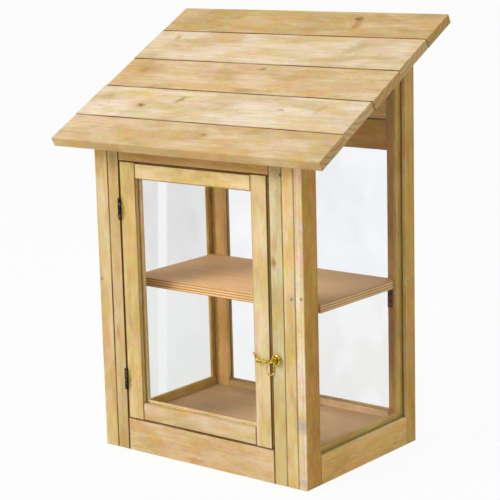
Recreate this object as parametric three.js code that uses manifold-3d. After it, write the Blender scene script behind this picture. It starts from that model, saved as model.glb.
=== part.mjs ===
// A glazed wooden street cabinet for exchanging books.
//
// The cabinet stands on the ground plane with its door facing -Y and +Z up. It is laid out from
// the front left corner of its body: X runs right, Y runs back and Z runs up, and at the end the
// whole cabinet is moved so that the middle of its base lies on the origin. All sizes are in
// millimetres.

import * as THREE from "three";
import { mergeVertices } from "three/addons/utils/BufferGeometryUtils.js";
import Module from "manifold-3d";

const wasm = await Module();
wasm.setup();

// Stock the cabinet is made from
const board_thickness = 19;
const plywood_thickness = 18;
const glass_thickness = 4;

// Every piece is cut back by half a seam on each face, so neighbours stay one seam apart
const seam = 0.3;
const half_seam = seam / 2;

// The sharp edges of the boards are planed off by this much, and a little less round the ends
const edge_ease = 1;
const end_ease_share = 0.8;

// Cutters run past the piece that they cut by this much
const overrun = 5;

// Body
const body_width = 500;
const body_depth = 362;

// Roof
const roof_slope = THREE.MathUtils.degToRad(28.3);
const eave_height = 601.5;
const eave_overhang = 36;
const roof_side_overhang = 72;
const plank_widths = [83, 100.5, 98, 104, 87];
const plank_shift_shares = [0.01, -0.02, 0.02, -0.01, 0];

// Front boards, from left to right
const left_post_width = 33;
const jamb_width = 29.5;
const right_post_width = 26;
const front_rail_height = 66;
const header_drop = 22.5;

// Door
const hinge_side_gap = 1.5;
const latch_side_gap = 3.75;
const door_top_gap = 2.5;
const door_bottom_gap = 1;
const hinge_stile_width = 39.5;
const latch_stile_width = 37.5;
const door_bottom_rail_height = 34;
const door_top_rail_height = 29.5;
const door_stop_width = 29.5;
const door_stop_cover = 8.5;

// Windows: a pane lies against a lip and is held by a frame of beads in the same rebate
const lip_thickness = 8;
const rebate_width = 10;
const door_bead_reach = 4;
const side_bead_reach = 11.5;
const rear_bead_reach = 17;
const pane_clearance = 1.5;
const pane_ease = 0.4;

// Side panels
const left_front_stile_width = 31;
const right_front_stile_width = 44;
const rear_stile_width = 31;
const side_rail_height = 55.5;
const side_top_rail_drop = 34;

// Back
const back_inset = 19;
const back_left_post_width = 35;
const back_right_post_width = 20.5;
const back_rail_height = 64.5;
const back_window_drop = 17.5;
const back_top_rail_height = 59;
const back_board_height = 77;

// Floor and shelf
const floor_top = 50;
const cleat_width = 19;
const cleat_height = 18;
const shelf_height = 334;
const shelf_setback = 75;
const shelf_cleat_length = 61;
const shelf_cleat_height = 20;
const right_shelf_cleat_inset = 10;
const bracket_leg = 40;
const bracket_width = 10;
const bracket_thickness = 2;
const bracket_inset = 9.5;

// Hinges
const hinge_length = 40;
const hinge_insets = { lower: 79, upper: 92 };
const knuckle_radius = 3;
const leaf_thickness = 1.2;
const leaf_depth = 16;
const leaf_gap = 0.6;
const knuckle_gap = 0.4;
const middle_knuckle_share = 0.34;
const pin_radius = 1.4;
const pin_clearance = 0.3;
const pin_head_radius = 2.3;
const pin_head_height = 0.9;
const mortise_clearance = 0.3;

// Latch
const latch_height = 240.5;
const latch_inset = 13.5;
const hook_stand_off = 6;
const hook_ring_radius = 7.9;
const hook_ring_wire = 2.5;
const hook_wire = 2.25;
const hook_tail_wire = 1.7;
const hook_arm_drop = 5.5;
const hook_finger_reach = 40.5;
const hook_finger_length = 6;
const hook_finger_wire = 1.9;
const hook_tail_reach = 12;
const hook_tail_rise = 12.5;
const pivot_shank_radius = 2.2;
const pivot_shank_length = 14;
const pivot_neck_radius = 4.2;
const pivot_washer_radius = 6.5;
const pivot_washer_height = 2.2;
const pivot_head_radius = 5.9;
const pivot_head_height = 2.2;
const pivot_recess_radius = 3.4;
const pivot_recess_depth = 1.4;
const drill_clearance = 0.3;
const eye_radius = 4.4;
const eye_wire = 1.2;
const eye_shank_length = 9;
const eye_drop = 3.5;
const loop_width = 15;
const loop_height = 30;
const loop_wire = 1;
const loop_reach = 13.5;
const loop_turn = THREE.MathUtils.degToRad(40);

// How finely round things are faceted
const knuckle_sides = 20;
const wire_sides = 10;
const ring_steps = 32;
const arm_steps = 8;
const tail_steps = 12;
const loop_steps = 36;

// Places worked out from the sizes
const inner_left = board_thickness;
const inner_right = body_width - board_thickness;
const inner_back = body_depth - back_inset - board_thickness;
const door_opening_left = left_post_width + jamb_width;
const door_opening_right = inner_right - right_post_width - jamb_width;
const door_left = door_opening_left + hinge_side_gap;
const door_right = door_opening_right - latch_side_gap;
const header_height = eave_height - header_drop;
const door_bottom = front_rail_height + door_bottom_gap;
const door_top = header_height - door_top_gap;
const hinge_heights = { lower: door_bottom + hinge_insets.lower, upper: door_top - hinge_insets.upper };
const back_window_height = eave_height - back_window_drop - back_rail_height;
const stop_back = 2 * board_thickness;
const stop_places = {
  left: door_left + door_stop_cover - door_stop_width,
  right: door_right - door_stop_cover,
};
const floor_bottom = floor_top - plywood_thickness;
const shelf_bottom = shelf_height - plywood_thickness;
const hinge_x = door_opening_left + hinge_side_gap / 2;
const hinge_y = -knuckle_radius - seam;
const latch_x = door_opening_right + latch_inset;

const pine = new THREE.MeshStandardMaterial({ color: "#dcbb88", roughness: 0.62, metalness: 0 });
const side_pine = new THREE.MeshStandardMaterial({ color: "#b58c4e", roughness: 0.62, metalness: 0 });
const inner_pine = new THREE.MeshStandardMaterial({ color: "#9a7a48", roughness: 0.68, metalness: 0 });
const plywood = new THREE.MeshStandardMaterial({ color: "#b8946c", roughness: 0.66, metalness: 0 });
const brass = new THREE.MeshStandardMaterial({ color: "#c9a227", roughness: 0.3, metalness: 1 });
const dark_steel = new THREE.MeshStandardMaterial({ color: "#2e2624", roughness: 0.42, metalness: 1 });
const glass = new THREE.MeshStandardMaterial({
  color: "#dce8ea",
  roughness: 0.05,
  metalness: 0,
  transparent: true,
  opacity: 0.25,
});

const cabinet = new THREE.Group();

function add(name, geometry, material, parent = cabinet) {
  const mesh = new THREE.Mesh(geometry, material.clone());
  mesh.name = name;
  parent.add(mesh);
  return mesh;
}

// Height of the underside of the roof over a place y, half a seam below the planks
function roof_line(y) {
  const rise = (y + eave_overhang) * Math.tan(roof_slope);
  return eave_height + rise - half_seam / Math.cos(roof_slope);
}

// A closed mesh as a solid that can be joined and cut
function solid(geometry) {
  const bare = geometry.clone();
  bare.deleteAttribute("normal");
  bare.deleteAttribute("uv");
  const merged = mergeVertices(bare);
  return new wasm.Manifold(
    new wasm.Mesh({
      numProp: 3,
      vertProperties: new Float32Array(merged.attributes.position.array),
      triVerts: new Uint32Array(merged.index.array),
    })
  );
}

function geometry_of(body) {
  const mesh = body.getMesh();
  const geometry = new THREE.BufferGeometry();
  geometry.setAttribute("position", new THREE.BufferAttribute(mesh.vertProperties, mesh.numProp));
  geometry.setIndex(new THREE.BufferAttribute(mesh.triVerts, 1));
  geometry.computeVertexNormals();
  return geometry;
}

function joined(...geometries) {
  return geometry_of(geometries.map(solid).reduce((whole, next) => whole.add(next)));
}

function cut(geometry, ...cutters) {
  return geometry_of(cutters.map(solid).reduce((whole, next) => whole.subtract(next), solid(geometry)));
}

// An outline whose corners are cut back along both of their edges
function eased_outline(corners, ease) {
  return corners.flatMap((corner, index) => {
    const before = corners[(index + corners.length - 1) % corners.length];
    const after = corners[(index + 1) % corners.length];
    return [before, after].map((other) => corner.clone().add(other.clone().sub(corner).setLength(ease)));
  });
}

function rectangle(left, low, right, high) {
  return [
    new THREE.Vector2(left, low),
    new THREE.Vector2(right, low),
    new THREE.Vector2(right, high),
    new THREE.Vector2(left, high),
  ];
}

// A straight piece of an outline, with all its edges eased, from the outline's plane up
function prism(outline, depth, holes = [], ease = edge_ease) {
  const shape = new THREE.Shape(eased_outline(outline, ease));
  shape.holes = holes.map((hole) => new THREE.Path(hole));
  const geometry = new THREE.ExtrudeGeometry(shape, {
    depth: depth - 2 * ease,
    bevelThickness: ease,
    bevelSize: ease * end_ease_share,
    bevelOffset: -ease * end_ease_share,
    bevelSegments: 1,
  });
  return geometry.translate(0, 0, ease);
}

// A board between two corners, cut back by half a seam
function board(low, high) {
  const outline = rectangle(low[0] + half_seam, low[1] + half_seam, high[0] - half_seam, high[1] - half_seam);
  return prism(outline, high[2] - low[2] - seam).translate(0, 0, low[2] + half_seam);
}

// Turns a prism drawn in the plane of Y and Z so that its depth runs along X from a place
const across = new THREE.Matrix4().makeBasis(
  new THREE.Vector3(0, 1, 0),
  new THREE.Vector3(0, 0, 1),
  new THREE.Vector3(1, 0, 0)
);

function across_prism(outline, from_x, to_x, holes = [], ease = edge_ease) {
  const geometry = prism(outline, to_x - from_x - seam, holes, ease);
  return geometry.applyMatrix4(across).translate(from_x + half_seam, 0, 0);
}

// Turns a prism drawn in the plane of X and Z so that its depth runs back along Y from a place
const backward = new THREE.Matrix4().makeBasis(
  new THREE.Vector3(1, 0, 0),
  new THREE.Vector3(0, 0, 1),
  new THREE.Vector3(0, -1, 0)
);

function backward_prism(outline, from_y, to_y, holes = [], ease = edge_ease) {
  const geometry = prism(outline, to_y - from_y - seam, holes, ease);
  return geometry.applyMatrix4(backward).translate(0, to_y - half_seam, 0);
}

// A board that runs up to the slope of the roof, drawn from the side
function upright(from_x, to_x, from_y, to_y, low) {
  const front = from_y + half_seam;
  const back = to_y - half_seam;
  const outline = [
    new THREE.Vector2(front, low + half_seam),
    new THREE.Vector2(back, low + half_seam),
    new THREE.Vector2(back, roof_line(back)),
    new THREE.Vector2(front, roof_line(front)),
  ];
  return across_prism(outline, from_x, to_x);
}

// A plain cutting block
function block(low, high) {
  const size = new THREE.Vector3().fromArray(high).sub(new THREE.Vector3().fromArray(low));
  const geometry = new THREE.BoxGeometry(size.x, size.y, size.z);
  return geometry.translate(low[0] + size.x / 2, low[1] + size.y / 2, low[2] + size.z / 2);
}

// A cylinder along Y from one place to another
function bore(x, z, radius, from_y, to_y) {
  const geometry = new THREE.CylinderGeometry(radius, radius, to_y - from_y, knuckle_sides);
  return geometry.translate(x, (from_y + to_y) / 2, z);
}

// A round bar about the Z axis from one height to another
function bar(radius, low, high) {
  const geometry = new THREE.CylinderGeometry(radius, radius, high - low, knuckle_sides);
  return geometry.rotateX(Math.PI / 2).translate(0, 0, (low + high) / 2);
}

// The outline of a side window in the plane of Y and Z, grown outward by a margin
function side_window(front, margin, rear_margin = margin) {
  const back = body_depth - rear_stile_width + rear_margin;
  const drop = side_top_rail_drop - margin / Math.cos(roof_slope);
  return [
    new THREE.Vector2(front - margin, side_rail_height - margin),
    new THREE.Vector2(back, side_rail_height - margin),
    new THREE.Vector2(back, roof_line(back) - drop),
    new THREE.Vector2(front - margin, roof_line(front - margin) - drop),
  ];
}

function side_panel(side, outer, inner, front, front_stile_width) {
  const stile_back = front + front_stile_width;
  const rear_front = body_depth - rear_stile_width;
  const inward = Math.sign(inner - outer);
  const lip = outer + inward * lip_thickness;
  const pocket = new THREE.ExtrudeGeometry(new THREE.Shape(side_window(stile_back, rebate_width)), {
    depth: board_thickness - lip_thickness + overrun,
    bevelEnabled: false,
  });
  pocket.applyMatrix4(across).translate(inward > 0 ? lip : inner - overrun, 0, 0);
  const [left, right] = [Math.min(outer, inner), Math.max(outer, inner)];

  const top_rail = [
    new THREE.Vector2(stile_back + half_seam, roof_line(stile_back + half_seam) - side_top_rail_drop),
    new THREE.Vector2(rear_front - half_seam, roof_line(rear_front - half_seam) - side_top_rail_drop),
    new THREE.Vector2(rear_front - half_seam, roof_line(rear_front - half_seam)),
    new THREE.Vector2(stile_back + half_seam, roof_line(stile_back + half_seam)),
  ];
  add(`${side}_front_stile`, cut(upright(left, right, front, stile_back, 0), pocket), side_pine);
  add(`${side}_rear_stile`, cut(upright(left, right, rear_front, body_depth, 0), pocket), side_pine);
  const rail = board([left, stile_back, 0], [right, rear_front, side_rail_height]);
  add(`${side}_bottom_rail`, cut(rail, pocket), side_pine);
  add(`${side}_top_rail`, cut(across_prism(top_rail, left, right), pocket), side_pine);

  const pane_faces = [lip, lip + inward * glass_thickness].sort((a, b) => a - b);
  const pane_outline = side_window(stile_back, rebate_width - pane_clearance);
  add(`${side}_pane`, across_prism(pane_outline, ...pane_faces, [], pane_ease), glass);

  const bead_faces = [lip + inward * glass_thickness, inner].sort((a, b) => a - b);
  const bead_outer = side_window(stile_back, rebate_width - seam);
  const bead_inner = side_window(stile_back, -side_bead_reach, -rear_bead_reach);
  add(`${side}_bead_frame`, across_prism(bead_outer, ...bead_faces, [bead_inner]), inner_pine);
}

// The holes that the hinge leaves lie in, cut from the edge of the jamb and of the door
function hinge_mortises(direction) {
  const deep = leaf_gap / 2 + leaf_thickness + mortise_clearance;
  const [left, right] = [direction * deep, 0].sort((a, b) => a - b);
  return Object.values(hinge_heights).map((height) => {
    const low = height - hinge_length / 2 - mortise_clearance;
    const high = height + hinge_length / 2 + mortise_clearance;
    return block([hinge_x + left, -overrun, low], [hinge_x + right, leaf_depth + mortise_clearance, high]);
  });
}

function front_frame() {
  const left_jamb_from = left_post_width;
  const right_post_from = inner_right - right_post_width;
  add("front_left_post", upright(0, left_post_width, 0, board_thickness, 0), pine);
  const left_jamb = upright(left_jamb_from, door_opening_left, 0, board_thickness, 0);
  add("left_jamb", cut(left_jamb, ...hinge_mortises(-1)), pine);
  const right_jamb = upright(door_opening_right, right_post_from, 0, board_thickness, 0);
  const pilot = bore(
    latch_x, latch_height, pivot_shank_radius + drill_clearance, -overrun, pivot_shank_length + drill_clearance
  );
  add("right_jamb", cut(right_jamb, pilot), pine);
  add("front_right_post", upright(right_post_from, inner_right, 0, board_thickness, 0), pine);
  const rail_low = [door_opening_left, 0, 0];
  const rail_high = [door_opening_right, board_thickness, front_rail_height];
  add("front_bottom_rail", board(rail_low, rail_high), pine);
  add("header", upright(door_opening_left, door_opening_right, 0, board_thickness, header_height), pine);

  for (const [side, from] of Object.entries(stop_places)) {
    const stop = upright(from, from + door_stop_width, board_thickness, stop_back, floor_bottom);
    add(`${side}_door_stop`, stop, inner_pine);
  }
}

// The back stands in from the rear edges of the side panels
function back_frame() {
  const left = inner_left + back_left_post_width;
  const right = inner_right - back_right_post_width;
  const low = back_rail_height;
  const high = back_rail_height + back_window_height;
  const back_face = inner_back + board_thickness;
  const rebate_front = inner_back + lip_thickness;
  const rail_top = high + back_top_rail_height;
  const pocket = block(
    [left - rebate_width, rebate_front, low - rebate_width],
    [right + rebate_width, back_face + overrun, high + rebate_width]
  );
  add("back_left_post", cut(upright(inner_left, left, inner_back, back_face, 0), pocket), inner_pine);
  add("back_right_post", cut(upright(right, inner_right, inner_back, back_face, 0), pocket), inner_pine);
  const bottom_rail = board([left, inner_back, 0], [right, back_face, low]);
  add("back_bottom_rail", cut(bottom_rail, pocket), inner_pine);
  const top_rail = board([left, inner_back, high], [right, back_face, rail_top]);
  add("back_top_rail", cut(top_rail, pocket), inner_pine);
  const seam_height = rail_top + back_board_height;
  const lower_board = board([left, inner_back, rail_top], [right, back_face, seam_height]);
  add("back_board_lower", lower_board, inner_pine);
  add("back_board_upper", upright(left, right, inner_back, back_face, seam_height), inner_pine);

  const pane_back = rebate_front + glass_thickness;
  const glass_margin = rebate_width - pane_clearance;
  const pane = rectangle(left - glass_margin, low - glass_margin, right + glass_margin, high + glass_margin);
  add("back_pane", backward_prism(pane, rebate_front, pane_back, [], pane_ease), glass);
  const margin = rebate_width - seam;
  const bead_outer = rectangle(left - margin, low - margin, right + margin, high + margin);
  const bead_inner = rectangle(left, low, right, high);
  add("back_bead_frame", backward_prism(bead_outer, pane_back, back_face, [bead_inner]), inner_pine);
}

// The floor is notched round the door stops, which run down past it
function floor_and_shelf() {
  const floor_low = [inner_left, board_thickness, floor_bottom];
  const floor = board(floor_low, [inner_right, inner_back, floor_top]);
  const notches = Object.values(stop_places).map((from) => {
    const to = from + door_stop_width + half_seam;
    return block([from - half_seam, 0, 0], [to, stop_back + half_seam, floor_top + overrun]);
  });
  add("floor_panel", cut(floor, ...notches), plywood);
  const shelf_low = [inner_left, shelf_setback, shelf_bottom];
  add("shelf", board(shelf_low, [inner_right, inner_back, shelf_height]), plywood);
  const cleat_bottom = floor_bottom - cleat_height;
  const shelf_cleat_bottom = shelf_bottom - shelf_cleat_height;
  const shelf_cleat_back = board_thickness + shelf_cleat_length;
  const places = { left: inner_left, right: inner_right - cleat_width };
  const insets = { left: 0, right: right_shelf_cleat_inset };
  for (const [side, from] of Object.entries(places)) {
    const to = from + cleat_width;
    const cleat = board([from, board_thickness, cleat_bottom], [to, inner_back, floor_bottom]);
    add(`${side}_floor_cleat`, cleat, inner_pine);
    const shelf_cleat = board(
      [from - insets[side], board_thickness, shelf_cleat_bottom],
      [to - insets[side], shelf_cleat_back, shelf_bottom]
    );
    add(`${side}_shelf_cleat`, shelf_cleat, inner_pine);
  }
  const bracket_places = {
    left: inner_left + bracket_inset,
    right: inner_right - bracket_inset - bracket_width,
  };
  for (const [side, from] of Object.entries(bracket_places)) {
    add(`${side}_shelf_bracket`, shelf_bracket(from), dark_steel);
  }
}

// An angle bracket with one leg up the back and the other forward under the shelf
function shelf_bracket(from_x) {
  const back = inner_back - half_seam;
  const top = shelf_bottom - half_seam;
  const outline = [
    new THREE.Vector2(back, top),
    new THREE.Vector2(back - bracket_leg, top),
    new THREE.Vector2(back - bracket_leg, top - bracket_thickness),
    new THREE.Vector2(back - bracket_thickness, top - bracket_thickness),
    new THREE.Vector2(back - bracket_thickness, top - bracket_leg),
    new THREE.Vector2(back, top - bracket_leg),
  ];
  const geometry = new THREE.ExtrudeGeometry(new THREE.Shape(outline), {
    depth: bracket_width,
    bevelEnabled: false,
  });
  return geometry.applyMatrix4(across).translate(from_x, 0, 0);
}

function roof() {
  const slope = new THREE.Group();
  slope.position.set(0, -eave_overhang, eave_height);
  slope.rotation.x = roof_slope;
  cabinet.add(slope);
  let edge = 0;
  plank_widths.forEach((width, index) => {
    const shift = plank_shift_shares[index] * roof_side_overhang;
    const low = [shift - roof_side_overhang, edge, 0];
    const high = [body_width + roof_side_overhang + shift, edge + width, board_thickness];
    add(`roof_plank_${index + 1}`, board(low, high), pine, slope);
    edge += width;
  });
}

function door() {
  const left = door_left + hinge_stile_width;
  const right = door_right - latch_stile_width;
  const low = door_bottom + door_bottom_rail_height;
  const high = door_top - door_top_rail_height;
  const back = board_thickness;
  const pocket = block(
    [left - rebate_width, lip_thickness, low - rebate_width],
    [right + rebate_width, back + overrun, high + rebate_width]
  );
  const hinge_stile = board([door_left, 0, door_bottom], [left, back, door_top]);
  add("door_hinge_stile", cut(hinge_stile, pocket, ...hinge_mortises(1)), pine);
  const latch_stile = board([right, 0, door_bottom], [door_right, back, door_top]);
  const eye_shank_radius = eye_wire + drill_clearance;
  const eye_hole_depth = eye_shank_length + drill_clearance;
  const eye_hole = bore(latch_x - hook_finger_reach, eye_height(), eye_shank_radius, -overrun, eye_hole_depth);
  add("door_latch_stile", cut(latch_stile, pocket, eye_hole), pine);
  const bottom_rail = board([left, 0, door_bottom], [right, back, low]);
  add("door_bottom_rail", cut(bottom_rail, pocket), pine);
  const top_rail = board([left, 0, high], [right, back, door_top]);
  add("door_top_rail", cut(top_rail, pocket), pine);

  const pane_back = lip_thickness + glass_thickness;
  const glass_margin = rebate_width - pane_clearance;
  const pane = rectangle(left - glass_margin, low - glass_margin, right + glass_margin, high + glass_margin);
  add("door_pane", backward_prism(pane, lip_thickness, pane_back, [], pane_ease), glass);
  const margin = rebate_width - seam;
  const bead_outer = rectangle(left - margin, low - margin, right + margin, high + margin);
  const reach = door_bead_reach;
  const bead_inner = rectangle(left + reach, low + reach, right - reach, high - reach);
  add("door_bead_frame", backward_prism(bead_outer, pane_back, back, [bead_inner]), pine);
}

// One leaf of a butt hinge about the Z axis: a wing, and its own knuckles on their tabs
function hinge_leaf(direction, knuckles) {
  const half = hinge_length / 2;
  const [left, right] = [direction * (leaf_gap / 2 + leaf_thickness), (direction * leaf_gap) / 2].sort(
    (a, b) => a - b
  );
  const wing_front = -hinge_y + seam;
  const wing = block([left, wing_front, -half], [right, leaf_depth - hinge_y, half]);
  const pieces = knuckles.flatMap(([low, high]) => [
    bar(knuckle_radius, low, high),
    block([left, 0, low], [right, wing_front + leaf_thickness, high]),
  ]);
  return cut(joined(wing, ...pieces), bar(pin_radius + pin_clearance, -hinge_length, hinge_length));
}

function hinge_pin() {
  const top = hinge_length / 2 + knuckle_gap;
  const head = top + pin_head_height;
  const points = [
    new THREE.Vector2(0, -head),
    new THREE.Vector2(pin_head_radius - pin_head_height / 2, -head),
    new THREE.Vector2(pin_head_radius, -top - pin_head_height / 2),
    new THREE.Vector2(pin_head_radius, -top),
    new THREE.Vector2(pin_radius, -top),
    new THREE.Vector2(pin_radius, top),
    new THREE.Vector2(pin_head_radius, top),
    new THREE.Vector2(pin_head_radius, top + pin_head_height / 2),
    new THREE.Vector2(pin_head_radius - pin_head_height / 2, head),
    new THREE.Vector2(0, head),
  ];
  return new THREE.LatheGeometry(points, knuckle_sides).rotateX(Math.PI / 2);
}

function hinges() {
  const half = hinge_length / 2;
  const middle = (middle_knuckle_share * hinge_length) / 2;
  const jamb_knuckles = [
    [-half, -middle - knuckle_gap],
    [middle + knuckle_gap, half],
  ];
  for (const [place, height] of Object.entries(hinge_heights)) {
    const hinge = new THREE.Group();
    hinge.position.set(hinge_x, hinge_y, height);
    cabinet.add(hinge);
    add(`${place}_hinge_jamb_leaf`, hinge_leaf(-1, jamb_knuckles), dark_steel, hinge);
    add(`${place}_hinge_door_leaf`, hinge_leaf(1, [[-middle, middle]]), dark_steel, hinge);
    add(`${place}_hinge_pin`, hinge_pin(), dark_steel, hinge);
  }
}

// A wire along a curve
function wire(points, radius, steps) {
  const section = new THREE.Shape();
  section.absarc(0, 0, radius, 0, 2 * Math.PI);
  return new THREE.ExtrudeGeometry(section, {
    steps,
    curveSegments: wire_sides,
    extrudePath: new THREE.CatmullRomCurve3(points),
  });
}

// The hook about its pivot: a ring, an arm to the finger, the finger, and a tail that curls up
function hook() {
  const finger_x = -hook_finger_reach;
  const arm_z = -hook_arm_drop;
  const ring = new THREE.TorusGeometry(hook_ring_radius, hook_ring_wire, wire_sides, ring_steps);
  const arm = wire(
    [new THREE.Vector3(-hook_ring_radius, 0, arm_z), new THREE.Vector3(finger_x, 0, arm_z)],
    hook_wire,
    arm_steps
  );
  const tail_shares = [
    [0, 0],
    [0.25, 0.06],
    [0.5, 0.34],
    [0.68, 0.7],
    [1, 1],
  ];
  const tail_points = tail_shares.map(
    ([along, up]) =>
      new THREE.Vector3(finger_x - along * hook_tail_reach, 0, arm_z + up * hook_tail_rise)
  );
  const knee = new THREE.SphereGeometry(hook_wire, wire_sides, wire_sides).translate(finger_x, 0, arm_z);
  const finger = bar(hook_finger_wire, arm_z - hook_finger_length, arm_z).translate(finger_x, 0, 0);
  return joined(
    ring.rotateX(Math.PI / 2), arm, knee, finger, wire(tail_points, hook_tail_wire, tail_steps)
  );
}

// The screw that the hook turns on, drawn along its axis from the tip to the dished head
function pivot_screw() {
  const washer_front = half_seam + pivot_washer_height;
  const ring_inner = hook_ring_radius - pivot_head_radius;
  const ring_half = Math.sqrt(hook_ring_wire ** 2 - Math.min(ring_inner, hook_ring_wire) ** 2);
  const head_back = hook_stand_off + ring_half + seam;
  const head_front = head_back + pivot_head_height;
  const points = [
    new THREE.Vector2(0, -pivot_shank_length),
    new THREE.Vector2(pivot_shank_radius / 2, -pivot_shank_length),
    new THREE.Vector2(pivot_shank_radius, -pivot_shank_length + pivot_shank_radius),
    new THREE.Vector2(pivot_shank_radius, half_seam),
    new THREE.Vector2(pivot_washer_radius, half_seam),
    new THREE.Vector2(pivot_washer_radius, washer_front),
    new THREE.Vector2(pivot_neck_radius, washer_front),
    new THREE.Vector2(pivot_neck_radius, head_back),
    new THREE.Vector2(pivot_head_radius, head_back),
    new THREE.Vector2(pivot_head_radius, head_front - pivot_head_height / 2),
    new THREE.Vector2(pivot_recess_radius, head_front),
    new THREE.Vector2(0, head_front - pivot_recess_depth),
  ];
  return new THREE.LatheGeometry(points, ring_steps).rotateX(Math.PI);
}

function eye_height() {
  return latch_height - hook_arm_drop - eye_drop;
}

function door_eye() {
  const ring = new THREE.TorusGeometry(eye_radius, eye_wire, wire_sides, ring_steps);
  const shank = bore(0, 0, eye_wire, eye_radius, eye_shank_length + hook_stand_off);
  return joined(ring, shank);
}

// A wire loop with round ends, standing in the plane of X and Z about its middle
function wire_loop() {
  const end_radius = loop_width / 2 - loop_wire;
  const end_height = (loop_height - loop_width) / 2;
  const positions = [];
  const triangles = [];
  for (let step = 0; step < loop_steps; step += 1) {
    const angle = ((step + 0.5) * 2 * Math.PI) / loop_steps;
    const outward = new THREE.Vector3(Math.cos(angle), 0, Math.sin(angle));
    const middle = outward.clone().multiplyScalar(end_radius);
    middle.z += Math.sign(Math.sin(angle)) * end_height;
    for (let side = 0; side < wire_sides; side += 1) {
      const turn = (side * 2 * Math.PI) / wire_sides;
      const point = middle.clone().addScaledVector(outward, loop_wire * Math.cos(turn));
      point.y += loop_wire * Math.sin(turn);
      positions.push(...point.toArray());
      const next_step = ((step + 1) % loop_steps) * wire_sides;
      const next_side = (side + 1) % wire_sides;
      const corner = step * wire_sides + side;
      const beside = step * wire_sides + next_side;
      triangles.push(corner, beside, next_step + side);
      triangles.push(beside, next_step + next_side, next_step + side);
    }
  }
  const geometry = new THREE.BufferGeometry();
  geometry.setAttribute("position", new THREE.BufferAttribute(new Float32Array(positions), 3));
  geometry.setIndex(triangles);
  geometry.computeVertexNormals();
  return geometry;
}

function latch() {
  add("hook", hook(), brass).position.set(latch_x, -hook_stand_off, latch_height);
  add("hook_pivot_screw", pivot_screw(), dark_steel).position.set(latch_x, 0, latch_height);
  const eye_x = latch_x - hook_finger_reach;
  add("door_eye", door_eye(), brass).position.set(eye_x, -hook_stand_off, eye_height());
  const loop = add("hanging_loop", wire_loop(), brass);
  const loop_top = latch_height - hook_arm_drop + hook_wire + seam + 2 * loop_wire;
  loop.position.set(latch_x - loop_reach, -hook_stand_off, loop_top - loop_height / 2);
  loop.rotation.z = loop_turn;
}

front_frame();
side_panel("left", 0, inner_left, board_thickness, left_front_stile_width);
side_panel("right", body_width, inner_right, 0, right_front_stile_width);
back_frame();
floor_and_shelf();
roof();
door();
hinges();
latch();

// The middle of the base goes to the origin
cabinet.updateMatrixWorld(true);
const bounds = new THREE.Box3().setFromObject(cabinet, true);
const centre = bounds.getCenter(new THREE.Vector3());
cabinet.position.set(-centre.x, -centre.y, -bounds.min.z);

export default cabinet;
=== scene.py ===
# %% [markdown]
# # A street cabinet for exchanging books
#
# A small glazed cabinet that stands outdoors and holds books for anyone to take or leave. Its
# boards, panes, hinges and latch are exact solids from a CAD program, and they come in here as a
# fixed frame whose shapes stay as they are. What is left to Blender is what a CAD program is poor
# at: the look of oiled pine, plywood, glass, brass and blackened steel, and the screw heads.
#
# The first cell loads the frame. The dressed model may not grow.

# %% Load the frame
import functools
import math

import bpy
from mathutils import Matrix, Vector


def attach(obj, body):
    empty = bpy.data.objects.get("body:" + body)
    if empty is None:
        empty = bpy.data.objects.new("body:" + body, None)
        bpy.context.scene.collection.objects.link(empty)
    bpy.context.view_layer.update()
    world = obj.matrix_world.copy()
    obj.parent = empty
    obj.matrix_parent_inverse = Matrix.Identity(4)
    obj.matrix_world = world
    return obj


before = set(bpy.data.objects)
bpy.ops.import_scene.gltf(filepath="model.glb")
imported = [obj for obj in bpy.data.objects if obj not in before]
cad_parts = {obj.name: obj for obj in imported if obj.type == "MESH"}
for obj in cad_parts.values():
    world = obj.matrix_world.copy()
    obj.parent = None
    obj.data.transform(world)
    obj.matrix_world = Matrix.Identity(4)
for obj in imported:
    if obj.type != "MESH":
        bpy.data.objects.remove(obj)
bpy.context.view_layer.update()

MM = 0.001

# %% [markdown]
# ## The camera
#
# The cabinet was photographed from its front right, from a little above, with a long lens: its
# upright edges are almost parallel. The place and the turn of the camera were found by matching
# the corners of the cabinet to the picture, so it is enough to write them down. The turn is built
# from three directions, which is easier to follow than three angles: where the back of the camera
# looks, where its right is, and where its top is.

# %% Camera
camera_place = Vector((1.9934, -2.4878, 1.0494))
camera_yaw = math.radians(38.760)
camera_pitch = math.radians(11.622)
camera_roll = math.radians(-1.482)
focal_pixels = 1674.65
picture_pixels = 500
sensor_width = 36.0

camera_back = Vector((
    math.sin(camera_yaw) * math.cos(camera_pitch),
    -math.cos(camera_yaw) * math.cos(camera_pitch),
    math.sin(camera_pitch),
))
level_right = Vector((math.cos(camera_yaw), math.sin(camera_yaw), 0))
level_up = camera_back.cross(level_right)
camera_right = level_right * math.cos(camera_roll) + level_up * math.sin(camera_roll)
camera_up = camera_back.cross(camera_right)

camera = bpy.data.objects.new("camera", bpy.data.cameras.new("camera"))
bpy.context.scene.collection.objects.link(camera)
turn = Matrix((camera_right, camera_up, camera_back)).transposed()
camera.matrix_world = Matrix.Translation(camera_place) @ turn.to_4x4()
camera.data.sensor_fit = "HORIZONTAL"
camera.data.sensor_width = sensor_width
camera.data.lens = focal_pixels / picture_pixels * sensor_width
bpy.context.scene.camera = camera
print("lens in mm:", round(camera.data.lens, 2))

# %% [markdown]
# ## A helper for nodes and a helper for colours
#
# A material in Blender is a graph of nodes. Writing one line for each socket gets long, so one
# small function adds a node with its settings, links its sockets or fills in values, and hands
# back the output that comes next. Python's partial then ties it to the graph being drawn.
#
# Two sets of settings come back all the time. COLOURS makes a Mix node blend colours, whose sockets
# are 6 and 7, by the share in socket 0. EASED makes a Map Range node turn a value that lies between
# sockets 1 and 2 into one between sockets 3 and 4 (0 and 1 unless given) without hard edges.
#
# Colours are easiest to pick as hex values, which are in sRGB, the scale of a screen. The
# renderer adds up light, so it wants them on a straight scale, and one function turns them.

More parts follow.
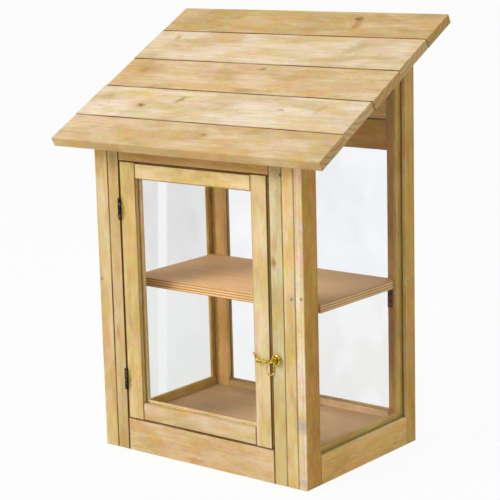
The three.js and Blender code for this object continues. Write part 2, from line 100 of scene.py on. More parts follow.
# %% Node and colour helpers
MATH, VECTOR, PARTS = "ShaderNodeMath", "ShaderNodeVectorMath", "ShaderNodeSeparateXYZ"
MIX, RANGE = "ShaderNodeMix", "ShaderNodeMapRange"
MAPPING, NOISE = "ShaderNodeMapping", "ShaderNodeTexNoise"
COLOURS = {"output": 2, "data_type": "RGBA"}
EASED = {"interpolation_type": "SMOOTHSTEP"}


def add_node(tree, kind, inputs=(), output=0, **settings):
    made = tree.nodes.new(kind)
    for name, value in settings.items():
        setattr(made, name, value)
    for key, value in dict(inputs).items():
        if isinstance(value, bpy.types.NodeSocket):
            tree.links.new(value, made.inputs[key])
        else:
            made.inputs[key].default_value = value
    return made.outputs[output] if made.outputs else made


def to_linear(hex_colour):
    parts = [int(hex_colour[at:at + 2], 16) / 255 for at in (1, 3, 5)]
    dark = [part / 12.92 for part in parts]
    light = [((part + 0.055) / 1.055) ** 2.4 for part in parts]
    return [low if part <= 0.04045 else high for part, low, high in zip(parts, dark, light)] + [1.0]


print("pine on the straight scale:", [round(part, 3) for part in to_linear("#DEC195")])

# %% [markdown]
# ## The studio
#
# The picture has a plain white ground. The floor here is a large pale sheet, and the world behind
# it is white to the eye and to whatever mirrors or lets it through, while the light that it
# throws on the cabinet is weaker. Light Path tells these kinds of ray apart. The floor is part
# paper, which takes the cabinet's shadow, and part plain white, which keeps it bright.

# %% Floor and world
seen_rays = ("Is Camera Ray", "Is Glossy Ray", "Is Transmission Ray")
world_light = 0.56
floor_size = 60.0
floor_drop = 0.0005
floor_glow_share = 0.93


def seen_directly(node):
    seen = 0.0
    for name in seen_rays:
        seen = node(MATH, {0: seen, 1: node("ShaderNodeLightPath", output=name)}, operation="MAXIMUM")
    return seen


world = bpy.data.worlds.new("white studio")
bpy.context.scene.world = world
world.use_nodes = True
world.node_tree.nodes.clear()
node = functools.partial(add_node, world.node_tree)
soft = node("ShaderNodeBackground", {"Color": to_linear("#FFFFFF"), "Strength": world_light})
white = node("ShaderNodeBackground", {"Color": to_linear("#FFFFFF"), "Strength": 1.0})
either = node("ShaderNodeMixShader", {0: seen_directly(node), 1: soft, 2: white})
node("ShaderNodeOutputWorld", {"Surface": either})

bpy.ops.object.select_all(action="DESELECT")
bpy.ops.mesh.primitive_plane_add(size=floor_size, location=(0, 0, -floor_drop))
floor = bpy.context.object
floor.name = "studio_floor"
floor_material = bpy.data.materials.new("white paper floor")
floor_material.use_nodes = True
floor_material.node_tree.nodes.clear()
node = functools.partial(add_node, floor_material.node_tree)
paper = node("ShaderNodeBsdfDiffuse", {"Color": to_linear("#F4F4F4")})
glow = node("ShaderNodeEmission", {"Color": to_linear("#FFFFFF"), "Strength": 1.0})
lit = node("ShaderNodeMixShader", {0: floor_glow_share, 1: paper, 2: glow})
sheet = node("ShaderNodeMixShader", {0: seen_directly(node), 1: paper, 2: lit})
node("ShaderNodeOutputMaterial", {"Surface": sheet})
floor.data.materials.append(floor_material)
print("floor:", floor_size, "m wide")

# %% [markdown]
# ## The lamp
#
# The roof and the front of the cabinet are bright and its right side is darker, so the main light
# comes from the front left and from above. A large lamp, like a window or a softbox, gives the
# blurred shade under the eave.

# %% Key lamp
lamp_place = Vector((-1.5, -3.4, 3.2))
lamp_target = Vector((0.0, 0.0, 0.45))
lamp_size = 2.4
lamp_power = 100.0

lamp_data = bpy.data.lights.new("softbox", "AREA")
lamp_data.shape = "DISK"
lamp_data.size = lamp_size
lamp_data.energy = lamp_power
lamp = bpy.data.objects.new("softbox", lamp_data)
bpy.context.scene.collection.objects.link(lamp)
lamp.location = lamp_place
lamp.rotation_euler = (lamp_target - lamp_place).to_track_quat("-Z", "Y").to_euler()
print("softbox:", round((lamp_target - lamp_place).length, 2), "m away")

# %% [markdown]
# ## Where each board lies
#
# Pine has a direction: its fibres run the length of the board. A pattern for it is drawn once, for
# a board whose length runs along X and whose width runs along Y, and a Mapping node turns each
# real board to that place. For this the length, width and middle of every board have to be known.
# They are measured on the mesh of its CAD node, along the directions in which the board was cut.

# %% Measure the boards
roof_slope = math.radians(28.3)
X, Y, Z = Vector((1, 0, 0)), Vector((0, 1, 0)), Vector((0, 0, 1))
LEFT, RIGHT, FRONT, BACK, DOWN, UP = -X, X, -Y, Y, -Z, Z
UPSLOPE = Vector((0, math.cos(roof_slope), math.sin(roof_slope)))
OFF_SLOPE = Vector((0, -math.sin(roof_slope), math.cos(roof_slope)))


def measure(name, along, across):
    """The middle in metres, the directions as a matrix, and half of each size in mm."""
    basis = Matrix((along, across, along.cross(across))).transposed()
    corners = [basis.transposed() @ corner.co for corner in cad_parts[name].data.vertices]
    low = Vector([min(corner[axis] for corner in corners) for axis in range(3)])
    high = Vector([max(corner[axis] for corner in corners) for axis in range(3)])
    return basis @ ((low + high) / 2), basis, (high - low) / 2 / MM


plank_halves = measure("roof_plank_1", X, UPSLOPE)[2]
print("first roof plank, half sizes in mm:", [round(value, 1) for value in plank_halves])

# %% [markdown]
# ## Oiled pine, and where the eye looks on it
#
# The boards are pine, planed and finished with clear oil. Pine is pale with darker late wood, and
# a board sawn from the side of a log shows long arches where the year rings leave its face. What
# the eye picks out here, from strong to weak, is: that no two boards have the same tone, soft
# greenish, pinkish and orange clouds in the oil, a few brown knots that the rings swerve round,
# streaks of fibre, and the dark seams, which are dirt with painted shade in them.
#
# An image of wood would be quicker, but it repeats, it smears on the end grain, and it can't be
# changed. So each of these is drawn by itself, in millimetres on the board.
#
# The first step gives every point its place on the board and its distance from the board's faces.
# The mitred frames have their pieces in one mesh: where a point is nearer to an end than to a side,
# it is on a crosswise piece, and there length and width change places.

# %% Places on a board
def board_places(node, place, mitred=False):
    middle, basis, half = place
    board = node(MAPPING, {
        "Vector": node("ShaderNodeTexCoord", output="Object"), "Location": middle,
        "Rotation": basis.to_euler(), "Scale": (MM, MM, MM),
    }, vector_type="TEXTURE")
    apart, inside = [], []
    for axis in range(3):
        apart.append(node(PARTS, {0: board}, output=axis))
        far = node(MATH, {0: apart[axis]}, operation="ABSOLUTE")
        inside.append(node(MATH, {0: half[axis], 1: far}, operation="SUBTRACT"))
    if mitred:
        crossed = node("ShaderNodeCombineXYZ", {0: apart[1], 1: apart[0], 2: apart[2]})
        is_crosswise = node(MATH, {0: inside[0], 1: inside[1]}, operation="LESS_THAN")
        board = node(MIX, {0: is_crosswise, 4: board, 5: crossed}, output=1, data_type="VECTOR")
    return board, apart, inside


print("places on a board: along X, across Y, through Z")

# %% [markdown]
# ## Tone, clouds and mottle
#
# Each board starts from one tone, and a tint is that tone with more or less red, green and blue.
# Noise stretched along the fibres makes clouds of these tints. Two finer noises, whose colour and
# not only their strength is random, give the small uneven flecks that oil leaves on planed wood.
# Soft Light is the blend that leaves the tone alone where the noise is middling. Every board has a
# seed, a whole number, which starts its noises at another place.

# %% Tints of pine
pine_tints = {
    "pale": (1.12, 1.16, 1.30),
    "deep": (0.84, 0.77, 0.58),
    "pink": (1.06, 0.95, 1.02),
    "green": (0.90, 0.97, 0.74),
    "orange": (1.02, 0.84, 0.52),
    "line": (0.72, 0.60, 0.42),
    "halo": (0.78, 0.62, 0.38),
    "end": (0.86, 0.75, 0.50),
    "knot": (0.56, 0.38, 0.16),
    "pitch": (0.27, 0.18, 0.06),
    # The seam colour is dirt and painted shade together.
    "dirt_and_shade": (0.17, 0.10, 0.03),
    "olive": (0.46, 0.40, 0.12),
    "yellow": (0.95, 0.93, 0.56),
    "rust": (0.70, 0.42, 0.20),
    "cream": (1.16, 1.20, 1.36),
    "grey": (0.62, 0.66, 1.0),
}


def tinted(tone, tint):
    parts = zip(to_linear(tone), pine_tints[tint])
    return [min(part * share, 1.0) for part, share in parts] + [1.0]


print("a pale tint of pine:", [round(part, 3) for part in tinted("#DFC38E", "pale")])

# %% Tone of a board
tone_mm = (150.0, 42.0)
cloud_mm = (82.0, 30.0)
cloud_kinds = (
    (11, "pink", 0.75), (23, "green", 0.65), (31, "orange", 0.60), (47, "yellow", 0.45),
    (53, "cream", 0.45),
)
fleck_kinds = (((26.0, 10.0), 0.6), ((9.0, 5.0), 0.5))
seed_steps = (7.3, 3.1, 1.7)


def clouds(node, board, size, seed, detail=2.0, output=0):
    """Noise in patches of a length and a width in mm."""
    stretched = node(MAPPING, {
        "Vector": board, "Location": [step * seed for step in seed_steps],
        "Scale": (1 / size[0], 1 / size[1], 1 / size[1]),
    })
    return node(NOISE, {"Vector": stretched, "Scale": 1.0, "Detail": detail}, output=output)


def cloudy_tone(node, board, tone, seed):
    share = clouds(node, board, tone_mm, seed + 41, 3.0)
    share = node(RANGE, {0: share, 1: 0.40, 2: 0.62}, **EASED)
    colour = node(MIX, {0: share, 6: tinted(tone, "pale"), 7: tinted(tone, "deep")}, **COLOURS)
    for shift, tint, most in cloud_kinds:
        share = clouds(node, board, cloud_mm, seed + shift, 3.0)
        share = node(RANGE, {0: share, 1: 0.50, 2: 0.66, 4: most}, **EASED)
        colour = node(MIX, {0: share, 6: colour, 7: tinted(tone, tint)}, **COLOURS)
    for size, most in fleck_kinds:
        flecks = clouds(node, board, size, seed + 67, 3.0, output=1)
        colour = node(MIX, {0: most, 6: colour, 7: flecks}, blend_type="SOFT_LIGHT", **COLOURS)
    return colour


print("kinds of cloud in the oil:", len(cloud_kinds))

# %% [markdown]
# ## Knots, stains and year rings
#
# A knot or a stain is an oval at a known place. Its pattern asks how near a point is to the middle,
# counted in half lengths and half widths, so 1 is the rim. The rim is made ragged by first pushing
# every point a few millimetres aside with noise. The oval has no end in the third direction, so it
# goes right through the board.
#
# The log itself is drawn as rings round an axis that runs along the board, outside it. Every face
# then cuts through the same log, as a saw does, and the ends get their arcs without more work. The
# rings waver, slowly along the log and faster across it, and near a knot they are pushed aside, as
# the trunk grew round the branch. Blender's Wave texture turns by 20 radians in each unit, which
# gives the scale for a spacing of rings.

# %% Knots and stains
ragged_mm = 6.0
ripple_mm = 9.0
endless_m = 1000.0


def ragged_places(node):
    spot = node("ShaderNodeTexCoord", output="Object")
    ripple = node(NOISE, {"Vector": spot, "Scale": 1 / (ripple_mm * MM), "Detail": 2.0}, output=1)
    ripple = node(RANGE, {
        "Vector": ripple, 9: (-ragged_mm * MM,) * 3, 10: (ragged_mm * MM,) * 3,
    }, output="Vector", data_type="FLOAT_VECTOR")
    return node(VECTOR, {0: spot, 1: ripple}, operation="ADD")


def nearness(node, ragged, point, size, basis, lean=0.0):
    near = node(MAPPING, {
        "Vector": ragged, "Location": point * MM,
        "Rotation": (basis @ Matrix.Rotation(math.radians(lean), 3, "Z")).to_euler(),
        "Scale": (size[0] * MM, size[1] * MM, endless_m),
    }, vector_type="TEXTURE")
    return node(VECTOR, {0: near}, output="Value", operation="LENGTH")


def knot_shares(node, ragged, knots, basis):
    """How much of a point is knot, how much its dark middle, and how much the swerve round it."""
    heart, core, halo = 0.0, 0.0, 0.0
    for point, size, strength in knots:
        distance = nearness(node, ragged, point, (1.5 * size, size), basis)
        rim = node(RANGE, {0: distance, 1: 1.15, 2: 0.45, 4: strength}, **EASED)
        heart = node(MATH, {0: heart, 1: rim}, operation="MAXIMUM")
        middle = node(RANGE, {0: distance, 1: 0.70, 2: 0.15, 4: strength}, **EASED)
        core = node(MATH, {0: core, 1: middle}, operation="MAXIMUM")
        swerve = node(RANGE, {0: distance, 1: 3.6, 2: 0.6}, **EASED)
        halo = node(MATH, {0: halo, 1: swerve}, operation="MAXIMUM")
    return heart, core, halo


print("rims are ragged by", ragged_mm, "mm")

# %% Year rings
ring_spacing_mm = 11.0
log_depth_mm = 75.0
log_step_mm = 171.0
along_share = 0.16
log_lean = 0.02
swerve_mm = 34.0
wave_turn = 20.0


def late_wood(node, board, half, seed, halo):
    """The dark part of each ring. The seed picks a place along the log and across it."""
    across = (seed * 37 % 19 - 9) * half.y / 12
    log = node(MAPPING, {
        "Vector": board, "Location": (seed * log_step_mm, across, -log_depth_mm),
        "Rotation": (0, log_lean * (seed % 5 - 2), 0), "Scale": (along_share, 1, 1),
    })
    aside = node(MATH, {0: halo, 1: -swerve_mm}, operation="MULTIPLY")
    aside = node("ShaderNodeCombineXYZ", {"Z": aside})
    rings = node("ShaderNodeTexWave", {
        "Vector": node(VECTOR, {0: log, 1: aside}, operation="ADD"),
        "Scale": 2 * math.pi / wave_turn / ring_spacing_mm,
        "Distortion": 5.0, "Detail": 2.0, "Detail Scale": 0.45,
    }, output="Fac", wave_type="RINGS", rings_direction="X", wave_profile="SAW")
    return node(RANGE, {0: rings, 1: 0.3, 2: 0.95}, **EASED)


print("year rings every", ring_spacing_mm, "mm")

# %% [markdown]
# ## Faces and seams
#
# Some faces of a board get a tone of their own, and this is painted light and shade. A face turned
# to the lamp is painted paler: the front edge of the right side panel, the front of a rear stile and
# the top of a side's bottom rail. The eave face of the first roof plank and the top of the back's
# bottom rail are painted darker, as shade, and the inner faces of the back boards under the roof are
# painted paler, to lift the shade there. A face is the points that lie within a millimetre or two
# of the board's end in one direction.
#
# Where two boards meet, a thin dark band lies along each face that touches a neighbour, only near
# the edges of the board, because the middle of that face is never seen. It is dirt together with
# painted shade in the seam, and it comes and goes along the seam. Round the door there is a real
# gap, and the band there is wider and unbroken: it is painted shade in the gap.

# %% Faces with painted light, and seam dirt and shade
# The seam band is dirt with painted shade, and the gap band is painted shade.
seam_dirt_and_shade_mm = 2.4
gap_shade_mm = 2.8
seam_patch_mm = (90.0, 40.0)


def towards(node, place, apart, direction, depth):
    """The axis of a direction, and a share that is 1 on its face and 0 from a depth in mm."""
    basis, half = place[1:]
    local = basis.transposed() @ direction
    axis = max(range(3), key=lambda index: abs(local[index]))
    out = node(MATH, {0: apart[axis], 1: math.copysign(1, local[axis])}, operation="MULTIPLY")
    return axis, node(RANGE, {0: out, 1: half[axis] - depth, 2: half[axis] - 0.35 * depth}, **EASED)


def edge_dirt_and_shade(node, place, apart, inside, directions, width, dirt_and_shade=0.0):
    for direction in directions:
        axis, at_face = towards(node, place, apart, direction, width)
        across = [inside[other] for other in range(3) if other != axis]
        nearest = node(MATH, {0: across[0], 1: across[1]}, operation="MINIMUM")
        at_edge = node(RANGE, {0: nearest, 1: width, 2: 0.35 * width}, **EASED)
        both = node(MATH, {0: at_face, 1: at_edge}, operation="MULTIPLY")
        dirt_and_shade = node(MATH, {0: dirt_and_shade, 1: both}, operation="MAXIMUM")
    return dirt_and_shade


def dirt_and_painted_shade(node, board, place, apart, inside, joined, gaps_with_painted_shade, seed, seam_darkness):
    """Patchy dirt and painted shade in the seams, and unbroken painted shade at the gaps."""
    patchy = clouds(node, board, seam_patch_mm, seed + 5)
    patchy = node(RANGE, {0: patchy, 1: 0.35, 2: 0.62, 3: 0.6 * seam_darkness, 4: seam_darkness}, **EASED)
    dirt_and_shade = edge_dirt_and_shade(node, place, apart, inside, joined, seam_dirt_and_shade_mm)
    dirt_and_shade = node(MATH, {0: dirt_and_shade, 1: patchy}, operation="MULTIPLY")
    return edge_dirt_and_shade(node, place, apart, inside, gaps_with_painted_shade, gap_shade_mm, dirt_and_shade)


print("dirt band:", seam_dirt_and_shade_mm, "mm at a seam,", gap_shade_mm, "mm at the door's gap")

# %% [markdown]
# ## The pine material
#
# Now the patterns are laid over each other like coats of paint: tone, lines of late wood and
# fibre, knots, stains, faces with painted light and shade, seam dirt with painted shade, and last
# the ends, which drink more oil and are darker. The fibres also stand up a little, which a Bump node
# shows without changing the shape, and they are duller than the wood between them. Pine oil is a
# soft satin, so the shine is weak and broad, and the seams' dirt and shade and the pitch in a knot
# have none. A shine that is the same all over a board is set on the shader's own socket, and only a
# board with seams, gaps or knots gets a pattern for it.

# %% Lines in the wood
fibre_mm = (180.0, 4.5)
hair_mm = (34.0, 1.3)


def wood_lines(node, board, half, seed, halo):
    """How dark the lines are at a point, and the rings, fibres and hairs that make them."""
    rings = late_wood(node, board, half, seed, halo)
    fibre = clouds(node, board, fibre_mm, seed, 4.0)
    hair = clouds(node, board, hair_mm, seed + 71)
    hair = node(RANGE, {0: hair, 1: 0.58, 2: 0.74, 4: 0.6}, **EASED)
    swirl = node(MATH, {0: halo, 1: 0.45, 2: 0.17}, operation="MULTIPLY_ADD")
    lines = node(MATH, {0: rings, 1: swirl}, operation="MULTIPLY")
    streaks = node(RANGE, {0: fibre, 1: 0.42, 2: 0.68, 4: 0.34}, **EASED)
    lines = node(MATH, {0: lines, 1: streaks}, operation="MAXIMUM")
    lines = node(MATH, {0: lines, 1: hair}, operation="MAXIMUM")
    return lines, rings, fibre, hair


print("fibres:", fibre_mm, "and hairs:", hair_mm, "in mm")

# %% Coats over the wood
painted_face_depth_mm = 1.6
end_depth_mm = 0.6


def laid_over(node, colour, tone, layers):
    for share, tint in layers:
        colour = node(MIX, {0: share, 6: colour, 7: tinted(tone, tint)}, **COLOURS)
    return colour


def stains(node, ragged, basis, marks):
    layers = []
    for point, length, width, tint, share, *lean in marks:
        distance = nearness(node, ragged, point, (length, width), basis, *lean)
        layers.append((node(RANGE, {0: distance, 1: 1.0, 2: 0.2, 4: share}, **EASED), tint))
    return layers


def paint_face_light(node, colour, tone, place, apart, faces_with_painted_light, fibre):
    """The colour with some faces given a tone of their own, as painted light and shade."""
    for direction, painted_light_tone in faces_with_painted_light:
        at_face = towards(node, place, apart, direction, painted_face_depth_mm)[1]
        fibre_varied_share = node(RANGE, {0: fibre, 1: 0.3, 2: 0.7, 3: 0.92, 4: 0.68}, **EASED)
        share = node(MATH, {0: at_face, 1: fibre_varied_share}, operation="MULTIPLY")
        change = [new / old for new, old in zip(to_linear(painted_light_tone), to_linear(tone))]
        colour = node(MIX, {0: share, 6: colour, 7: change}, blend_type="MULTIPLY", **COLOURS)
    return colour


def end_grain(node, colour, tone, inside, rings):
    ends = node(RANGE, {0: inside[0], 1: end_depth_mm, 2: end_depth_mm / 6}, **EASED)
    arcs = node(RANGE, {0: rings, 4: 0.6})
    grain = node(MIX, {0: arcs, 6: tinted(tone, "end"), 7: tinted(tone, "knot")}, **COLOURS)
    return node(MIX, {0: ends, 6: colour, 7: grain}, **COLOURS)


print("faces are retoned", painted_face_depth_mm, "mm deep, ends", end_depth_mm, "mm")

# %% Pine
oil_shine = 0.28
seam_shine = 0.02
fibre_relief_mm = 0.5


def pine_finish(
    name, place, tone, seed,
    joined=(), gaps_with_painted_shade=(), knots=(), marks=(), faces_with_painted_light=(), mitred=False, seam_darkness=0.95,
):
    basis, half = place[1:]
    material = bpy.data.materials.new(name)
    material.use_nodes = True
    shader = material.node_tree.nodes["Principled BSDF"]
    node = functools.partial(add_node, material.node_tree)
    board, apart, inside = board_places(node, place, mitred)
    ragged = ragged_places(node)

    # Tone, lines, knots and stains
    heart, core, halo = knot_shares(node, ragged, knots, basis)
    lines, rings, fibre, hair = wood_lines(node, board, half, seed, halo)
    layers = [(lines, "line")]
    if knots:
        swerve = node(MATH, {0: halo, 1: 0.34}, operation="MULTIPLY")
        layers += [(swerve, "halo"), (heart, "knot"), (core, "pitch")]
    layers += stains(node, ragged, basis, marks)
    colour = laid_over(node, cloudy_tone(node, board, tone, seed), tone, layers)

    # Faces with painted light and shade, dirt and painted shade in the seams, and end grain
    colour = paint_face_light(node, colour, tone, place, apart, faces_with_painted_light, fibre)
    dirt_and_shade = dirt_and_painted_shade(node, board, place, apart, inside, joined, gaps_with_painted_shade, seed, seam_darkness)
    colour = laid_over(node, colour, tone, [(dirt_and_shade, "dirt_and_shade")])
    if not mitred:
        colour = end_grain(node, colour, tone, inside, rings)
    material.node_tree.links.new(colour, shader.inputs["Base Color"])

    # Shine and relief
    shader.inputs["Specular IOR Level"].default_value = oil_shine
    if joined or gaps_with_painted_shade or knots:
        matt = node(MATH, {0: dirt_and_shade, 1: core}, operation="MAXIMUM")
        shine = node(RANGE, {0: matt, 3: oil_shine, 4: seam_shine})
        material.node_tree.links.new(shine, shader.inputs["Specular IOR Level"])
    dull = node(RANGE, {0: fibre, 1: 0.3, 2: 0.7, 3: 0.50, 4: 0.68}, **EASED)
    material.node_tree.links.new(dull, shader.inputs["Roughness"])
    relief = node(MATH, {0: fibre, 1: 0.7, 2: hair}, operation="MULTIPLY_ADD")
    bump = node("ShaderNodeBump", {
        "Height": relief, "Strength": 0.3, "Distance": fibre_relief_mm * MM,
    })
    material.node_tree.links.new(bump, shader.inputs["Normal"])
    return material


def dress(name, material):
    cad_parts[name].data.materials.clear()
    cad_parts[name].data.materials.append(material)


print("oil shines at", oil_shine, "and dirt at", seam_shine)

# %% [markdown]
# ## One row for each board
#
# The boards differ in tone, and some carry knots or stains. Each row says along which direction
# the board was cut and which way its width runs, its tone, which of its faces lie against a
# neighbour or against the door's gap, where painted shade goes, which have a tone of their own as
# painted light and shade, how dark its seams are, and what marks it has. Places are in millimetres
# in the frame of the whole cabinet. A knot has its half width and its strength, a mark its half
# length, half width, tint, strength and, where it lies askew, the angle. A few marks are painted
# shade or a painted highlight, and a comment says so at each.

# %% Front boards
front_mm = -167.5
right_mm = 250.0


def on_front(across, height):
    return Vector((across, front_mm, height))


boards = {
    "front_left_post": (Z, X, "#DFC38E", dict(joined=(RIGHT, BACK), marks=(
        (on_front(-236, 60), 60, 12, "orange", 0.5), (on_front(-238, 430), 70, 9, "green", 0.5),
    ))),
    "left_jamb": (Z, X, "#D4B882", dict(joined=(LEFT,), gaps_with_painted_shade=(RIGHT,), marks=(
        (on_front(-202, 572), 40, 16, "olive", 0.5), (on_front(-206, 236), 26, 7, "rust", 0.6),
        (on_front(-205, 440), 90, 10, "pink", 0.5),
        # The two olive marks by the hinges are painted shadow of the hinges.
        (on_front(-190, 484), 30, 5, "olive", 0.7), (on_front(-190, 146), 30, 5, "olive", 0.7),
    ))),
    "right_jamb": (Z, X, "#DACB9B", dict(gaps_with_painted_shade=(LEFT,), joined=(RIGHT,), seam_darkness=0.6, marks=(
        (on_front(184, 420), 17, 9, "rust", 0.85), (on_front(186, 421), 7, 5, "knot", 0.9),
        (on_front(196, 590), 30, 22, "olive", 0.55),
        (on_front(183, 138), 26, 6, "rust", 0.7), (on_front(188, 455), 26, 8, "rust", 0.35),
        (on_front(188, 60), 240, 30, "orange", 0.6),
    ))),
    "front_right_post": (Z, X, "#E6C98E", dict(joined=(LEFT, RIGHT), seam_darkness=0.5, marks=(
        (on_front(216, 560), 60, 9, "orange", 0.6), (on_front(223, 357), 14, 10, "grey", 0.4),
    ))),
    "front_bottom_rail": (X, Z, "#DFC090", dict(joined=(LEFT, RIGHT, UP), marks=(
        (on_front(-14, 8), 40, 9, "rust", 0.55), (on_front(60, 4), 70, 8, "orange", 0.6),
    ))),
    "header": (X, Z, "#C7A05C", dict(marks=(
        (on_front(-60, 589), 70, 6, "pink", 0.6), (on_front(90, 587), 60, 6, "pink", 0.6),
        # The long cream band along the lower edge is a painted highlight.
        (on_front(20, 580), 260, 9, "cream", 0.6),
    ))),
    "door_hinge_stile": (Z, X, "#DFC284", dict(gaps_with_painted_shade=(LEFT,), joined=(RIGHT,), seam_darkness=0.7, marks=(
        # These two olive marks by the hinges are painted shadow of the hinges.
        (on_front(-180, 482), 32, 7, "olive", 0.8), (on_front(-180, 142), 32, 7, "olive", 0.8),
    ))),
    "door_latch_stile": (Z, X, "#EAD2A2", dict(gaps_with_painted_shade=(RIGHT,), joined=(LEFT,), seam_darkness=0.6, marks=(
        (on_front(155, 90), 26, 10, "green", 0.6),
    ))),
    "door_bottom_rail": (X, Z, "#E4CAA2", dict(joined=(LEFT, RIGHT), gaps_with_painted_shade=(DOWN,))),
    "door_top_rail": (X, Z, "#EACF92", dict(joined=(LEFT, RIGHT), gaps_with_painted_shade=(UP,), seam_darkness=0.7)),
    "door_bead_frame": (Z, X, "#DABB84", dict(mitred=True)),
}
print("front boards:", len(boards))

# %% [markdown]
# ## Sides, back and inner boards
#
# The right side is in half shade and its oil looks more yellow. The back is seen from inside. Its
# posts and rails are brown there, most of all the upper face of the bottom rail, which is painted
# shade, and the two boards under the roof have an inner face painted paler, a painted light that
# lifts the shade under the roof.

# %% Side boards
side_tone = "#CA9D4C"


def on_side(outward, depth, height):
    return Vector((outward.x * right_mm, depth, height))


for side, outward in (("left", LEFT), ("right", RIGHT)):
    boards[f"{side}_front_stile"] = (Z, Y, side_tone, dict(joined=(FRONT,)))
    # The paler top face of a bottom rail is painted light.
    boards[f"{side}_bottom_rail"] = (Y, Z, "#F2CA80", dict(
        joined=(FRONT, BACK), seam_darkness=0.8, faces_with_painted_light=((UP, "#F4E0B4"),),
        marks=((on_side(outward, 60, 30), 90, 20, "yellow", 0.4),),
    ))
    boards[f"{side}_top_rail"] = (UPSLOPE, OFF_SLOPE, side_tone, dict(joined=(FRONT, BACK)))
    boards[f"{side}_bead_frame"] = (Z, Y, "#C6A554", dict(mitred=True))
    # The paler front face of a rear stile is painted light.
    boards[f"{side}_rear_stile"] = (Z, Y, "#D6AD5B", dict(faces_with_painted_light=((FRONT, "#E2C696"),), marks=(
        (on_side(outward, 174, 560), 330, 4, "rust", 0.4),
        (on_side(outward, 190, 540), 330, 9, "olive", 0.3),
        (on_side(outward, 182, 450), 150, 60, "yellow", 0.55),
        (on_side(outward, 182, 660), 70, 60, "cream", 0.35),
        (on_side(outward, 184, 180), 120, 60, "rust", 0.22),
        (on_side(outward, 168, 328), 11, 6, "cream", 0.9),
    )))
# The paler front edge of this stile is painted light.
boards["right_front_stile"] = (Z, Y, side_tone, dict(
    joined=(LEFT,), faces_with_painted_light=((FRONT, "#F4DFB8"),), seam_darkness=0.6,
    marks=(
        (on_front(243, 123), 20, 6, "grey", 0.85), (on_front(244, 14), 12, 6, "grey", 0.6),
        (on_front(240, 300), 60, 6, "orange", 0.3),
    ),
))
print("boards with the sides:", len(boards))

# %% Back and inner boards
inner_tone = "#BF9A64"
back_face_mm = 156.5


def on_back(across, height):
    return Vector((across, back_face_mm, height))


boards.update({
    "left_door_stop": (Z, X, inner_tone, {}), "right_door_stop": (Z, X, inner_tone, {}),
    "back_left_post": (Z, X, "#DDB16C", dict(joined=(LEFT,), marks=(
        # The long olive strip next to the inner corner is painted shadow.
        (on_back(-225, 300), 900, 8, "olive", 0.75), (on_back(-204, 430), 200, 9, "pink", 0.5),
    ))),
    "back_right_post": (Z, X, "#BE9450", dict(joined=(RIGHT,), seam_darkness=0.6, marks=(
        (on_back(216, 66), 14, 9, "rust", 0.6), (on_back(228, 300), 500, 3, "orange", 0.7),
    ))),
    # The darker top of the back's bottom rail is painted shade, and the paler inner faces of the two
    # back boards are painted light.
    "back_bottom_rail": (X, Z, "#D3B282", dict(joined=(LEFT, RIGHT), faces_with_painted_light=((UP, "#8E7038"),))),
    "back_top_rail": (X, Z, "#BF9541", dict(joined=(LEFT, UP))),
    "back_board_lower": (X, Z, "#BF9541", dict(joined=(LEFT, DOWN, UP), faces_with_painted_light=((FRONT, "#EACA82"),))),
    "back_board_upper": (X, Z, "#D8B888", dict(faces_with_painted_light=((FRONT, "#EFD9B4"),))),
    "back_bead_frame": (Z, X, inner_tone, dict(mitred=True)),
    "left_floor_cleat": (Y, X, inner_tone, {}), "right_floor_cleat": (Y, X, inner_tone, {}),
    "left_shelf_cleat": (Y, X, inner_tone, {}), "right_shelf_cleat": (Y, X, inner_tone, {}),
})
print("boards without the roof:", len(boards))

# %% [markdown]
# ## Roof planks
#
# The roof shows most of the wood, and its knots and stains were read off the picture one by one:
# a place on the roof is so many millimetres from the middle and from the eave. Where two planks
# have much the same tone, the seam is what tells them apart, so its dirt matters most.

# %% Roof planks
eave_place = Vector((0, -203.5, 601.35))
plank_mm = 19.0


def on_roof(across, up_slope):
    """A place on top of the roof, up_slope mm from the eave."""
    return X * across + eave_place + UPSLOPE * up_slope + OFF_SLOPE * plank_mm


